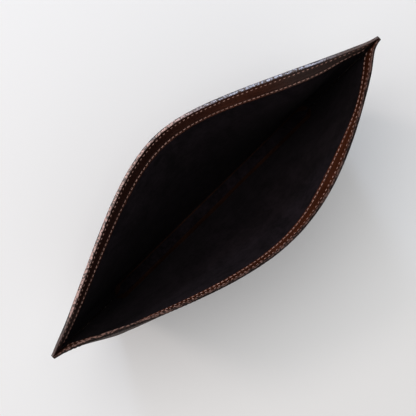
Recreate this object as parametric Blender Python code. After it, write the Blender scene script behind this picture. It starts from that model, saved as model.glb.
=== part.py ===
"""A leather laptop sleeve, standing on its bottom fold with its mouth open.

One sheet of leather is folded at the bottom and sewn up both sides. A padded
core and a folded suede lining lie inside it, and a leather facing is sewn round
the inside of the mouth. Every layer is the outer surface moved inwards by a
depth, so all layers share one grid of columns (across the sleeve) and rows
(from the bottom fold to the rim).

The row frame: +X along the mouth from corner to corner, +Y towards the back
wall, +Z up, and z = 0 under the bottom fold. Lengths are in metres.
"""

import math

import bmesh
import bpy
from mathutils import Vector

# The sleeve as cut and as it stands open.
FLAT_WIDTH = 0.332  # cut edge to cut edge, laid flat
FLAT_DEPTH = 0.247  # bottom fold to rim, laid flat
BASE_SPAN = FLAT_WIDTH - 0.0025  # straight width at the bottom, where it is opened out
MOUTH_SPAN = 0.310  # straight width between the mouth's two corners
BASE_HALF = 0.0118  # half the width of the flat base
BASE_RADIUS = 0.0050  # from the base up into a wall, where the base is wide enough
RADIUS_SHARE = 0.7  # the most of the base's half width that the radius takes
WALL_FLARE = 1.15  # power by which a wall leaves the vertical towards the mouth

# How far each wall bows at the mouth: its reach, where along the mouth its crest
# is, how round the crest is to the left and right of it, and the ends' taper.
# The rim tilts outwards by "tilt" beyond the flare (inwards if negative, over a
# belly in the wall), and by "lean" more around the place "lean_at". It curls by
# "curl" close to the rim around "curl_at". The seams pinch the left and right ends
# by the shares "pinch", which fade over "pinch_length".
BACK = {
    "side": 1,
    "reach": 0.0583,
    "crest": 0.497,
    "round": (0.36, 0.28),
    "taper": 1.124,
    "tilt": 0.03,
    "lean": 0.28,
    "lean_at": 0.816,
    "curl": 0.0,
    "curl_at": 0.5,
    "pinch": (-0.25, 0.2),
    "pinch_length": (0.012, 0.012),
}
FRONT = {
    "side": -1,
    "reach": 0.0565,
    "crest": 0.562,
    "round": (0.485, 1.10),
    "taper": 1.100,
    "tilt": -0.30,
    "lean": 0.26,
    "lean_at": 0.738,
    "curl": -0.15,
    "curl_at": 0.10,
    "pinch": (0.30, 0.7),
    "pinch_length": (0.032, 0.0105),
}
LEAN_WIDTH, CURL_WIDTH = 0.125, 0.08  # of the mouth's width
TILT_DEEP, CURL_DEEP = 3, 8  # powers: a tilt reaches far down the wall, a curl does not
SEAM_HOLD = 0.035  # the side seams hold the walls straight over this distance
CURL_HOLD = 0.010  # and keep the rim from curling over this one

# The layers of a wall, from outside to inside. The second thickness is at the
# side edges, where the layers are pared.
GAP = 0.0002
LEATHER, LEATHER_EDGE = 0.0009, 0.0007
PAD_BODY = 0.0018
CORE_EDGE = 0.0003
TAPE = 0.0004
LINING = 0.0003
FACING, FACING_EDGE = 0.0005, 0.0004
PARING = 0.015  # the leather is pared over this distance from the edge
SEAM_HALF = 0.00185  # half the sewn thickness at the side edges

# Bands and seams.
FACING_HEIGHT = 0.018
LINING_TOP = 0.0125  # the lining ends under the facing, this far below the rim
LINING_CLEAR = 0.0095  # and the facing lies straight on the tape from here up
SIDE_SEAM = 0.0042  # the side stitching, in from the cut edge
PILLOW_START = 0.0055  # the walls part this far in from the cut edge
PILLOW = 0.012  # and swell to the full base width over this distance
CORE_INSET = 0.0085  # the core stops this far short of the side edges
CORE_FADE = 0.015  # and reaches its full thickness this much further in
PAD_SWELL = 0.030  # the padding swells from the tape's thickness over this drop
PAD_PARTING = 0.0003  # half the gap between the two paddings under the fold
RIM_BEND = 0.0045  # the rim's own bend starts here; the side stitching ends here
RIM_ROW = 0.003  # upper stitch row, below the rim
FACING_ROW = 0.0154  # lower stitch row, below the rim
THREAD = 0.0006
THREAD_RISE = 0.00045
THREAD_GAP = 0.0003
EDGE_PAINT = 0.0005
PAINT_NARROWING = 0.94  # the side paint's width, of the edge that it covers

# The grid.
END_COLUMNS = [0.0, PILLOW_START, CORE_INSET, 0.0115, 0.0145, 0.0180, 0.024, 0.034, 0.047]
MID_COLUMNS = 15
CORNER_STEPS = 3
WALL_DROPS = [0.200, 0.164, 0.128, 0.092, 0.060, 0.036]  # rows below the rim
LINED_DROPS = [FACING_HEIGHT, LINING_TOP]  # rows of the facing's band, over the lining
MOUTH_DROPS = LINED_DROPS + [LINING_CLEAR, RIM_BEND, 0.0]
EDGE_ROWS = 12

# The seam plane sits where both walls' reach is centred on y = 0.
SEAM_Y = (FRONT["reach"] - BACK["reach"]) / 2
PEAK_SLOPE = WALL_FLARE**2 / (2 * WALL_FLARE - 1)


def clamp(value, low=0.0, high=1.0):
    return max(low, min(high, value))


def smooth(value):
    value = clamp(value)
    return value * value * (3 - 2 * value)


def from_edge(q):
    """The distance of column q (0 to 1) from the nearer side edge."""
    return min(q, 1 - q) * MOUTH_SPAN


def bow(q, wall):
    """How far the wall stands off the seam plane at the rim, beyond the sewn thickness.

    A hyperbola gives straight flanks and a round crest, and the seams pinch the ends.
    """
    crest = wall["crest"]
    left = q < crest
    away = (crest - q) / crest if left else (q - crest) / (1 - crest)
    roundness = wall["round"][0 if left else 1]
    fall = math.hypot(away, roundness) - roundness
    full_fall = math.hypot(1, roundness) - roundness
    end = 0 if left else 1
    near_end = math.exp(-((from_edge(q) / wall["pinch_length"][end]) ** 2))
    held = 1 - wall["pinch"][end] * near_end
    return held * wall["reach"] * max(0.0, 1 - fall / full_fall) ** wall["taper"]


def base_half(q):
    """Half the width of the base, which closes to the sewn thickness at the ends."""
    swell = clamp((from_edge(q) - PILLOW_START) / PILLOW)
    return SEAM_HALF + (BASE_HALF - SEAM_HALF) * math.sin(swell * math.pi / 2)


def base_radius(q):
    return min(BASE_RADIUS, RADIUS_SHARE * base_half(q))


def wall_length(q):
    """The path from the top of the base's round corner to the rim.

    The bottom corners are cut round, which takes from the side edges what the base
    takes from the middle, so that the rim has no peaks at its ends.
    """
    base_path = BASE_HALF - BASE_RADIUS + BASE_RADIUS * math.pi / 2
    return FLAT_DEPTH - base_path + BASE_RADIUS - base_radius(q)


def seam_free(q, reach):
    """How free a wall is of its side seams, from 0 where they hold it to 1."""
    return smooth((from_edge(q) - PILLOW_START) / reach)


def belly(q, wall, share):
    """How far the wall is drawn inwards below a tilted rim."""
    lean = wall["lean"] * math.exp(-(((q - wall["lean_at"]) / LEAN_WIDTH) ** 2))
    curl = wall["curl"] * math.exp(-(((q - wall["curl_at"]) / CURL_WIDTH) ** 2))
    tilted = seam_free(q, SEAM_HOLD) * (wall["tilt"] + lean) * share**TILT_DEEP
    curled = seam_free(q, CURL_HOLD) * curl * share**CURL_DEEP
    return wall_length(q) * (tilted + curled) * (1 - share)


def section(q, wall, v):
    """y and z of the outer surface, and the share of the wall's path below the point.

    v runs 0 to 1 over the base, 1 to 2 round its corner and 2 to 3 up the wall.
    """
    half, radius, length = base_half(q), base_radius(q), wall_length(q)
    flat = half - radius
    if v <= 1:
        return v * flat, 0.0, 0.0
    if v <= 2:
        turn = (v - 1) * math.pi / 2
        return flat + radius * math.sin(turn), radius * (1 - math.cos(turn)), 0.0
    share = v - 2
    run = SEAM_HALF + bow(q, wall) - half
    y = half + run * share**WALL_FLARE - belly(q, wall, share)
    sag = 0.5 * run**2 / length * PEAK_SLOPE * share ** (2 * WALL_FLARE - 1)
    return y, radius + share * length - sag, share


def outer(q, wall, v):
    """A point on the outer face of the leather."""
    y, z, share = section(q, wall, v)
    span = BASE_SPAN - (BASE_SPAN - MOUTH_SPAN) * share ** (2 * WALL_FLARE)
    return Vector(((q - 0.5) * span, SEAM_Y + wall["side"] * y, z))


def frame_at(q, wall, v, step=0.001):
    """The outer point, its outward normal and the direction up the wall."""
    along = outer(min(q + step, 1), wall, v) - outer(max(q - step, 0), wall, v)
    low, high = max(v - step, 0), min(v + step, 3)
    up = (outer(q, wall, high) - outer(q, wall, low)).normalized()
    if v == 0:
        return outer(q, wall, 0), Vector((0, 0, -1)), Vector((0, wall["side"], 0))
    normal = up.cross(along).normalized()
    if wall["side"] < 0:
        normal = -normal
    if from_edge(q) == 0:
        normal.x = 0
        normal.normalize()
    return outer(q, wall, v), normal, up


def below_rim(distance):
    """A row at a distance below the rim, measured down the wall."""
    return lambda q: 3 - distance / wall_length(q)


def fixed(v):
    return lambda q: v


def inside(depth):
    """A constant depth below the outer face."""
    return lambda q, v: depth


def pared(q, full, edge):
    """A leather layer's thickness, thinner towards the side edges."""
    return edge + (full - edge) * smooth(from_edge(q) / PARING)


def leather_inner(q, v):
    return pared(q, LEATHER, LEATHER_EDGE)


def core_outer(q, v):
    return leather_inner(q, v) + GAP


def core_depth(q, v):
    """Thickness of the core: mouth tape near the rim, padding below it."""
    drop = max(0.0, 3 - v) * wall_length(q) if v >= 2 else FLAT_DEPTH
    body = smooth((drop - FACING_HEIGHT) / PAD_SWELL)
    full = TAPE + (PAD_BODY - TAPE) * body
    into = smooth((from_edge(q) - CORE_INSET) / CORE_FADE)
    return CORE_EDGE + (full - CORE_EDGE) * into


def lining_outer(q, v):
    """Depth of the lining's outer face: it hugs the leather beyond the core."""
    over_core = smooth((from_edge(q) - PILLOW_START) / (CORE_INSET - PILLOW_START))
    return core_outer(q, v) + over_core * (core_depth(q, v) + GAP)


def core_inner(q, v):
    return core_outer(q, v) + core_depth(q, v)


def lining_inner(q, v):
    return lining_outer(q, v) + LINING


def facing_outer(q, v):
    """Depth of the facing's outer face: over the lining, and above it on the tape.

    At the side edges, where there is no tape, it keeps to the side seam's middle.
    """
    drop = (3 - v) * wall_length(q)
    over_lining = smooth((drop - LINING_CLEAR) / (LINING_TOP - LINING_CLEAR))
    in_seam = 1 - smooth((from_edge(q) - PILLOW_START) / (CORE_INSET - PILLOW_START))
    return lining_outer(q, v) + max(over_lining, in_seam) * (LINING + GAP)


def facing_inner(q, v):
    return facing_outer(q, v) + pared(q, FACING, FACING_EDGE)


def shifted(depth, by):
    return lambda q, v: depth(q, v) + by


COLUMNS = [d / MOUTH_SPAN for d in END_COLUMNS]
COLUMNS += [
    COLUMNS[-1] + (1 - 2 * COLUMNS[-1]) * (i + 1) / (MID_COLUMNS + 1) for i in range(MID_COLUMNS)
]
COLUMNS += [1 - d / MOUTH_SPAN for d in reversed(END_COLUMNS)]
CORE_COLUMNS = [q for q in COLUMNS if from_edge(q) > (PILLOW_START + CORE_INSET) / 2]

CORNER_ROWS = [fixed(1 + i / CORNER_STEPS) for i in range(CORNER_STEPS)]
LOWER_ROWS = CORNER_ROWS + [fixed(2)] + [below_rim(d) for d in WALL_DROPS]
LINED_ROWS = [below_rim(d) for d in LINED_DROPS]
MOUTH_ROWS = [below_rim(d) for d in MOUTH_DROPS]


def add_object(name, bm, material):
    """Make the named object, and turn its faces outwards."""
    bmesh.ops.recalc_face_normals(bm, faces=bm.faces)
    mesh = bpy.data.meshes.new(name)
    bm.to_mesh(mesh)
    bm.free()
    mesh.materials.append(material)
    mesh.shade_smooth()
    mesh.set_sharp_from_angle(angle=math.radians(35))
    node = bpy.data.objects.new(name, mesh)
    bpy.context.scene.collection.objects.link(node)
    return node


def quad(bm, a, b, c, d):
    """Two triangles with a fixed diagonal, so that neighbouring layers stay parallel."""
    bm.faces.new((a, b, c))
    bm.faces.new((a, c, d))


def layer(name, material, lines, columns, depth_out, depth_in):
    """A closed sheet between two depths, over the given (wall, row) lines."""
    bm = bmesh.new()
    faces = []
    for depth in (depth_out, depth_in):
        grid = []
        for wall, row in lines:
            line = []
            for q in columns:
                v = row(q)
                point, normal, _ = frame_at(q, wall, v)
                line.append(bm.verts.new(point - normal * depth(q, v)))
            grid.append(line)
        faces.append(grid)
    outside, within = faces
    last_row, last_column = len(lines) - 1, len(columns) - 1
    for i in range(last_row):
        for j in range(last_column):
            for grid in faces:
                quad(bm, grid[i][j], grid[i][j + 1], grid[i + 1][j + 1], grid[i + 1][j])
    for i in range(last_row):
        for j in (0, last_column):
            quad(bm, outside[i][j], outside[i + 1][j], within[i + 1][j], within[i][j])
    for j in range(last_column):
        for i in (0, last_row):
            quad(bm, outside[i][j], outside[i][j + 1], within[i][j + 1], within[i][j])
    return add_object(name, bm, material)


def wall_lines(wall, rows):
    """Rows given upwards, as lines that run from the front rim towards the back rim."""
    lines = [(wall, row) for row in rows]
    return lines if wall is BACK else lines[::-1]


def wrap_lines(top_rows):
    """All rows from the front wall's top, under the fold, to the back wall's top."""
    rows = LOWER_ROWS + top_rows
    return wall_lines(FRONT, rows) + [(BACK, fixed(0))] + wall_lines(BACK, rows)


def sweep(name, material, rings):
    """A closed bar through rings of points that all have the same count."""
    bm = bmesh.new()
    loops = [[bm.verts.new(p) for p in ring] for ring in rings]
    count = len(loops[0])
    for near, far in zip(loops, loops[1:]):
        for k in range(count):
            quad(bm, near[k], near[(k + 1) % count], far[(k + 1) % count], far[k])
    for cap in (loops[0], loops[-1]):
        bmesh.ops.triangulate(bm, faces=[bm.faces.new(cap)])
    return add_object(name, bm, material)


def rim_paint(name, material, wall):
    """The burnished, painted edge on top of a wall's layers, with a crowned top."""
    rings = []
    for q in COLUMNS:
        point, normal, up = frame_at(q, wall, 3)
        thick = facing_inner(q, 3)
        crown = [(0, 0), (0, 0.5), (0.25, 0.9), (0.5, 1), (0.75, 0.9), (1, 0.5), (1, 0)]
        ring = []
        for across, height in crown:
            ring.append(point - normal * across * thick + up * (GAP + height * EDGE_PAINT))
        rings.append(ring)
    return sweep(name, material, rings)


def side_paint(name, material, q):
    """The painted edge that closes the layers down one side."""
    rings = []
    outwards = -1 if q == 0 else 1
    lowest = 2 - math.asin(0.5) / (math.pi / 2)
    for i in range(EDGE_ROWS + 1):
        v = lowest + (3 - lowest) * i / EDGE_ROWS
        point, _, up = frame_at(q, BACK, v)
        away = Vector((outwards * up.z, 0, -outwards * up.x)).normalized()
        ring = []
        for across, height in [(1, 0), (1, 0.6), (0, 1), (-1, 0.6), (-1, 0)]:
            reach = across * (point.y - SEAM_Y) * PAINT_NARROWING
            base = Vector((point.x, SEAM_Y + reach, point.z))
            ring.append(base + away * (GAP + height * EDGE_PAINT))
        rings.append(ring)
    return sweep(name, material, rings)


def thread_across(name, material, wall, drop, under, over):
    """One stitch row's thread along the mouth, between two depths."""
    rows = [below_rim(drop - THREAD / 2), below_rim(drop + THREAD / 2)]
    inner_columns = COLUMNS[1:-1]
    return layer(name, material, wall_lines(wall, rows), inner_columns, under, over)


def thread_down(name, material, wall, left):
    """One side seam's thread on a wall's outer face, from the rim to the corner."""
    centre = SIDE_SEAM / MOUTH_SPAN
    half = THREAD / 2 / MOUTH_SPAN
    columns = [centre - half, centre + half]
    if not left:
        columns = [1 - q for q in reversed(columns)]
    rows = [fixed(2.0)] + [below_rim(d) for d in WALL_DROPS] + MOUTH_ROWS[:-1]
    under, over = inside(-THREAD_GAP - THREAD_RISE), inside(-THREAD_GAP)
    return layer(name, material, wall_lines(wall, rows), columns, under, over)


def make_material(name, colour, roughness):
    """A plain Principled material; colour is linear red, green and blue."""
    material = bpy.data.materials.new(name)
    material.use_nodes = True
    shader = material.node_tree.nodes["Principled BSDF"]
    shader.inputs["Base Color"].default_value = (*colour, 1)
    shader.inputs["Roughness"].default_value = roughness
    shader.inputs["Metallic"].default_value = 0.0
    material.diffuse_color = (*colour, 1)
    return material


def build_shell(leather, suede):
    """The folded leather and the folded lining."""
    layer("outer_leather", leather, wrap_lines(MOUTH_ROWS), COLUMNS, inside(0), leather_inner)
    layer("lining", suede, wrap_lines(LINED_ROWS), COLUMNS, lining_outer, lining_inner)


def build_core(wall_name, wall, foam, tape):
    """A wall's padding, and the stiffening tape round its part of the mouth."""
    top = below_rim(FACING_HEIGHT + 2 * GAP)
    parting = lambda q: PAD_PARTING / (base_half(q) - base_radius(q))
    rows = [parting] + LOWER_ROWS + [top]
    pad_lines = wall_lines(wall, rows)
    layer(f"{wall_name}_padding", foam, pad_lines, CORE_COLUMNS, core_outer, core_inner)
    tape_lines = wall_lines(wall, MOUTH_ROWS)
    layer(f"{wall_name}_mouth_tape", tape, tape_lines, CORE_COLUMNS, core_outer, core_inner)


def build_mouth(wall_name, wall, leather, paint, thread):
    """A wall's facing, its painted rim, and the threads of its two stitch rows."""
    band = wall_lines(wall, MOUTH_ROWS)
    layer(f"{wall_name}_facing", leather, band, COLUMNS, facing_outer, facing_inner)
    rim_paint(f"{wall_name}_rim_paint", paint, wall)
    within = (shifted(facing_inner, THREAD_GAP), shifted(facing_inner, THREAD_GAP + THREAD_RISE))
    without = (inside(-THREAD_GAP - THREAD_RISE), inside(-THREAD_GAP))
    thread_across(f"{wall_name}_rim_thread_inside", thread, wall, RIM_ROW, *within)
    thread_across(f"{wall_name}_rim_thread_outside", thread, wall, RIM_ROW, *without)
    thread_across(f"{wall_name}_facing_thread", thread, wall, FACING_ROW, *within)


def build_sides(paint, thread):
    """The painted side edges, and the side seams' threads on both walls."""
    for side_name, q in (("left", 0), ("right", 1)):
        side_paint(f"{side_name}_edge_paint", paint, q)
        for wall_name, wall in (("back", BACK), ("front", FRONT)):
            thread_down(f"{side_name}_seam_thread_{wall_name}", thread, wall, q == 0)


def main():
    for old in list(bpy.data.objects):
        bpy.data.objects.remove(old, do_unlink=True)
    leather = make_material("brown_leather", (0.045, 0.018, 0.010), 0.55)
    suede = make_material("dark_suede", (0.012, 0.008, 0.010), 0.95)
    foam = make_material("grey_foam", (0.10, 0.10, 0.10), 0.9)
    tape = make_material("stiffening_tape", (0.30, 0.27, 0.22), 0.8)
    paint = make_material("edge_paint", (0.040, 0.022, 0.017), 0.45)
    thread = make_material("brown_thread", (0.16, 0.085, 0.060), 0.6)
    build_shell(leather, suede)
    for wall_name, wall in (("back", BACK), ("front", FRONT)):
        build_core(wall_name, wall, foam, tape)
        build_mouth(wall_name, wall, leather, paint, thread)
    build_sides(paint, thread)


main()
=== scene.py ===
"""The looks of the leather laptop sleeve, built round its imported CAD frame.

Every layer of the sleeve is the outer surface moved inwards by a depth, as in the
CAD, so this script repeats the CAD's surface rule and its few numbers. It adds what
the CAD leaves plain: crowned and lumpy edges, a puckered facing, stitches one by
one, napped lining, woven tape, foam, and the materials.

Lengths are in metres. q runs 0 to 1 from the left side edge to the right one. v
runs 0 to 1 over the base, 1 to 2 round its corner and 2 to 3 up a wall. A drop is
a distance below the rim.
"""

import math

import bmesh
import bpy
import numpy as np
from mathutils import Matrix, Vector


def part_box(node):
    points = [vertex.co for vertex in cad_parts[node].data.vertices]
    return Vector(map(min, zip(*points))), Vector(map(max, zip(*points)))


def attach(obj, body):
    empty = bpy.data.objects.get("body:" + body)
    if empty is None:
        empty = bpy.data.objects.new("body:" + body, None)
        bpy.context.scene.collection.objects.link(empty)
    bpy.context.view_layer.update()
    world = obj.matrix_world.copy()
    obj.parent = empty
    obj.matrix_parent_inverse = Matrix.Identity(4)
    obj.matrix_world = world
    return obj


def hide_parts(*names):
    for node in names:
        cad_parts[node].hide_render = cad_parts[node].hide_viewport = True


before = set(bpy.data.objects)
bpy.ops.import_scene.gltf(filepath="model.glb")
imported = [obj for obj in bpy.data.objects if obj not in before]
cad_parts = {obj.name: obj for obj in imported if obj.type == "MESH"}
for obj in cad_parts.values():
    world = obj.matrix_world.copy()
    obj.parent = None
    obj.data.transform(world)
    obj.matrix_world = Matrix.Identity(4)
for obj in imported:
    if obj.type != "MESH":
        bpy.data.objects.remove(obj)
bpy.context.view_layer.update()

# ---------------- the sleeve's sizes

LEATHER_LOW, LEATHER_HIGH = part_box("outer_leather")
EDGE_LOW, EDGE_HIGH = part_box("left_edge_paint")
BASE_SPAN = LEATHER_HIGH.x - LEATHER_LOW.x
SEAM_Y = (EDGE_LOW.y + EDGE_HIGH.y) / 2
MOUTH_SPAN = 0.310
FLAT_WIDTH, FLAT_DEPTH = 0.332, 0.247
BASE_HALF, BASE_RADIUS, RADIUS_SHARE = 0.0118, 0.0050, 0.7
WALL_FLARE = 1.15
PEAK_SLOPE = WALL_FLARE**2 / (2 * WALL_FLARE - 1)
SEAM_HALF = 0.00185
PILLOW_START, PILLOW = 0.0055, 0.012  # where the fold opens, in from the side edges
SEAM_HOLD, CURL_HOLD = 0.035, 0.010  # how far the side seams hold a wall back
LEAN_WIDTH, CURL_WIDTH = 0.125, 0.08
TILT_DEEP, CURL_DEEP = 3, 8  # the higher, the closer to the rim it stays

# Each wall's own shape, as in the CAD.
BACK = {
    "name": "back",
    "side": 1,
    "reach": 0.0583,
    "crest": 0.497,
    "round": (0.36, 0.28),
    "taper": 1.124,
    "tilt": 0.03,
    "lean": 0.28,
    "lean_at": 0.816,
    "curl": 0.0,
    "curl_at": 0.5,
    "pinch": (-0.25, 0.2),
    "pinch_length": (0.012, 0.012),
}
FRONT = {
    "name": "front",
    "side": -1,
    "reach": 0.0565,
    "crest": 0.562,
    "round": (0.485, 1.10),
    "taper": 1.100,
    "tilt": -0.30,
    "lean": 0.26,
    "lean_at": 0.738,
    "curl": -0.15,
    "curl_at": 0.10,
    "pinch": (0.30, 0.7),
    "pinch_length": (0.032, 0.0105),
}
WALLS = (BACK, FRONT)

# The layers, from outside to inside, with the CAD's thicknesses.
GAP = 0.0002
LEATHER, LEATHER_EDGE, PARING = 0.0009, 0.0007, 0.015
TAPE, PAD_BODY, PAD_SWELL, CORE_EDGE = 0.0004, 0.0018, 0.030, 0.0003
CORE_INSET, CORE_FADE = 0.0085, 0.015
PAD_PARTING = 0.0003  # half the gap between the two pads, in the middle of the base
LINING = 0.0003
FACING, FACING_EDGE, FACING_HEIGHT = 0.0005, 0.0004, 0.018
LINING_TOP, LINING_CLEAR = 0.0125, 0.0095

# Seams: rows below the rim, and the side seams in from the cut edge.
RIM_ROW, FACING_ROW, SIDE_SEAM = 0.0030, 0.0154, 0.0042
STITCH_PITCH = 0.0034
SEAM_MARGIN = 0.0062  # the first and last stitch of a row, from the side edges


# ---------------- the surface


def smooth(value):
    value = np.clip(value, 0, 1)
    return value * value * (3 - 2 * value)


def bell(distance, width):
    return np.exp(-((distance / width) ** 2))


def unit(vectors):
    return vectors / np.maximum(np.linalg.norm(vectors, axis=-1, keepdims=True), 1e-12)


def from_edge(q):
    return np.minimum(q, 1 - q) * MOUTH_SPAN


def bow(q, wall):
    """How far the wall stands off the seam plane at the rim."""
    crest = wall["crest"]
    left = q < crest
    away = np.where(left, (crest - q) / crest, (q - crest) / (1 - crest))
    roundness = np.where(left, *wall["round"])
    fall = np.hypot(away, roundness) - roundness
    full_fall = np.hypot(1, roundness) - roundness
    near_end = bell(from_edge(q), np.where(left, *wall["pinch_length"]))
    held = 1 - np.where(left, *wall["pinch"]) * near_end
    return held * wall["reach"] * np.maximum(0, 1 - fall / full_fall) ** wall["taper"]


def base_half(q):
    swell = np.clip((from_edge(q) - PILLOW_START) / PILLOW, 0, 1)
    return SEAM_HALF + (BASE_HALF - SEAM_HALF) * np.sin(swell * math.pi / 2)


def base_radius(q):
    return np.minimum(BASE_RADIUS, RADIUS_SHARE * base_half(q))


def wall_length(q):
    base_path = BASE_HALF - BASE_RADIUS + BASE_RADIUS * math.pi / 2
    return FLAT_DEPTH - base_path + BASE_RADIUS - base_radius(q)


def seam_free(q, reach):
    """How free a wall is of its side seams, from 0 where they hold it to 1."""
    return smooth((from_edge(q) - PILLOW_START) / reach)


def belly(q, wall, share):
    """How far the wall is drawn inwards below a tilted rim."""
    lean = wall["lean"] * bell(q - wall["lean_at"], LEAN_WIDTH)
    curl = wall["curl"] * bell(q - wall["curl_at"], CURL_WIDTH)
    tilted = seam_free(q, SEAM_HOLD) * (wall["tilt"] + lean) * share**TILT_DEEP
    curled = seam_free(q, CURL_HOLD) * curl * share**CURL_DEEP
    return wall_length(q) * (tilted + curled) * (1 - share)


def outer(q, wall, v):
    """Points on the outer face of the leather, as the CAD has it."""
    half, radius, length = base_half(q), base_radius(q), wall_length(q)
    flat = half - radius
    share = np.clip(v - 2, 0, 1)
    turn = np.clip(v - 1, 0, 1) * math.pi / 2
    run = SEAM_HALF + bow(q, wall) - half
    below = np.clip(v, 0, 1) * flat + radius * np.sin(turn)
    y = below + run * share**WALL_FLARE - belly(q, wall, share)
    sag = 0.5 * run**2 / length * PEAK_SLOPE * share ** (2 * WALL_FLARE - 1)
    z = radius * (1 - np.cos(turn)) + share * length - sag
    span = BASE_SPAN - (BASE_SPAN - MOUTH_SPAN) * share ** (2 * WALL_FLARE)
    return np.stack(np.broadcast_arrays((q - 0.5) * span, SEAM_Y + wall["side"] * y, z), axis=-1)


SLOPE_STEP = 0.001  # of q and v, for the directions at a point


def frame_at(q, wall, v):
    """The outer points, their outward normals, and the directions up and along the wall."""
    q, v = np.broadcast_arrays(np.asarray(q, float), np.asarray(v, float))
    right, left = np.minimum(q + SLOPE_STEP, 1), np.maximum(q - SLOPE_STEP, 0)
    above, below = np.minimum(v + SLOPE_STEP, 3), np.maximum(v - SLOPE_STEP, 0)
    along = outer(right, wall, v) - outer(left, wall, v)
    up = outer(q, wall, above) - outer(q, wall, below)
    along, up = unit(along), unit(up)
    normal = wall["side"] * unit(np.cross(up, along))
    normal[v == 0] = (0, 0, -1)
    edge = from_edge(q) < 1e-9
    normal[edge, 0] = 0
    return outer(q, wall, v), unit(normal), up, along


def row_at(drop):
    """v of a row that lies a drop below the rim."""
    return lambda q: 3 - drop / wall_length(q)


def drop_of(q, v):
    """The distance below the rim, measured down the wall; far more under the base."""
    return np.where(v >= 2, (3 - v) * wall_length(q), FLAT_DEPTH + (2 - v) * BASE_RADIUS)


# The depths of the layers below the outer face.


def pared(q, full, edge):
    return edge + (full - edge) * smooth(from_edge(q) / PARING)


def leather_inner(q, v):
    return pared(q, LEATHER, LEATHER_EDGE)


def core_outer(q, v):
    return leather_inner(q, v) + GAP


def core_depth(q, v):
    body = smooth((drop_of(q, v) - FACING_HEIGHT) / PAD_SWELL)
    full = TAPE + (PAD_BODY - TAPE) * body
    return CORE_EDGE + (full - CORE_EDGE) * smooth((from_edge(q) - CORE_INSET) / CORE_FADE)


def core_inner(q, v):
    return core_outer(q, v) + core_depth(q, v)


def lining_outer(q, v):
    over_core = smooth((from_edge(q) - PILLOW_START) / (CORE_INSET - PILLOW_START))
    return core_outer(q, v) + over_core * (core_depth(q, v) + GAP)


def lining_inner(q, v):
    return lining_outer(q, v) + LINING


def facing_outer(q, v):
    """Over the lining's top, and above it on the tape; in the middle at the side seams."""
    over_lining = smooth((drop_of(q, v) - LINING_CLEAR) / (LINING_TOP - LINING_CLEAR))
    in_seam = 1 - smooth((from_edge(q) - PILLOW_START) / (CORE_INSET - PILLOW_START))
    return lining_outer(q, v) + np.maximum(over_lining, in_seam) * (LINING + GAP)


def facing_inner(q, v):
    return facing_outer(q, v) + pared(q, FACING, FACING_EDGE)


def arc_table(wall, drop, depth):
    """Column positions along a wall and the real distance along a row there."""
    q = np.linspace(0, 1, 1201)
    v = row_at(drop)(q)
    point, normal, _, _ = frame_at(q, wall, v)
    line = point - normal * depth(q, v)[:, None]
    steps = np.linalg.norm(np.diff(line, axis=0), axis=1)
    return q, np.concatenate([[0], np.cumsum(steps)])


def stitch_places(wall, drop, depth):
    """The columns of a row's stitches, and the phase of the stitching at any column."""
    q, arc = arc_table(wall, drop, depth)
    usable = arc[-1] - 2 * SEAM_MARGIN
    count = round(usable / STITCH_PITCH)
    pitch = usable / count
    centres = SEAM_MARGIN + (np.arange(count) + 0.5) * pitch
    return np.interp(centres, arc, q), lambda at: (np.interp(at, q, arc) - SEAM_MARGIN) / pitch


# ---------------- relief


def ripple(a, b, wavelength, seed):
    """A smooth, irregular height between about -1 and 1, with no pattern of its own."""
    total, weight = 0, 0
    for k in range(7):
        turn = seed + 2.399 * k
        frequency = 2 * math.pi / wavelength * (0.55 + 0.17 * k)
        share = 1 / (1 + 0.25 * k)
        wave = np.sin(frequency * (a * math.cos(turn) + b * math.sin(turn)) + 1.9 * k * (seed + 1))
        total = total + share * wave
        weight += share
    return total / weight * 2.0


NEEDLE_PULL = 0.38  # the share of a groove's depth that comes and goes with the stitches


def pucker(distance, phase, depth, width):
    """A sewn groove: pulled down most at the needle holes, between the stitches."""
    pull = 1 - NEEDLE_PULL + NEEDLE_PULL * np.cos(2 * math.pi * phase)
    return -depth * bell(distance, width) * pull


# The outer leather's relief: heights of its fullness and waves, and of what is pressed in.
SHELL_PLUMP, SHELL_SWELL, SHELL_RIPPLE, SEAM_DRAG = 0.00035, 0.00022, 0.00007, 0.00013
SHELL_SWELL_LENGTH, SHELL_RIPPLE_LENGTH, SEAM_DRAG_LENGTH = 0.085, 0.019, 0.012
OUTSIDE_GROOVE, SIDE_GROOVE, OUTSIDE_GROOVE_WIDTH = 0.00030, 0.00028, 0.0009
RIM_ROUNDING, RIM_ROUNDING_DEEP = 0.00030, 0.0007
SIDE_ROUNDING, SIDE_ROUNDING_DEEP = 0.00025, 0.0006


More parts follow.
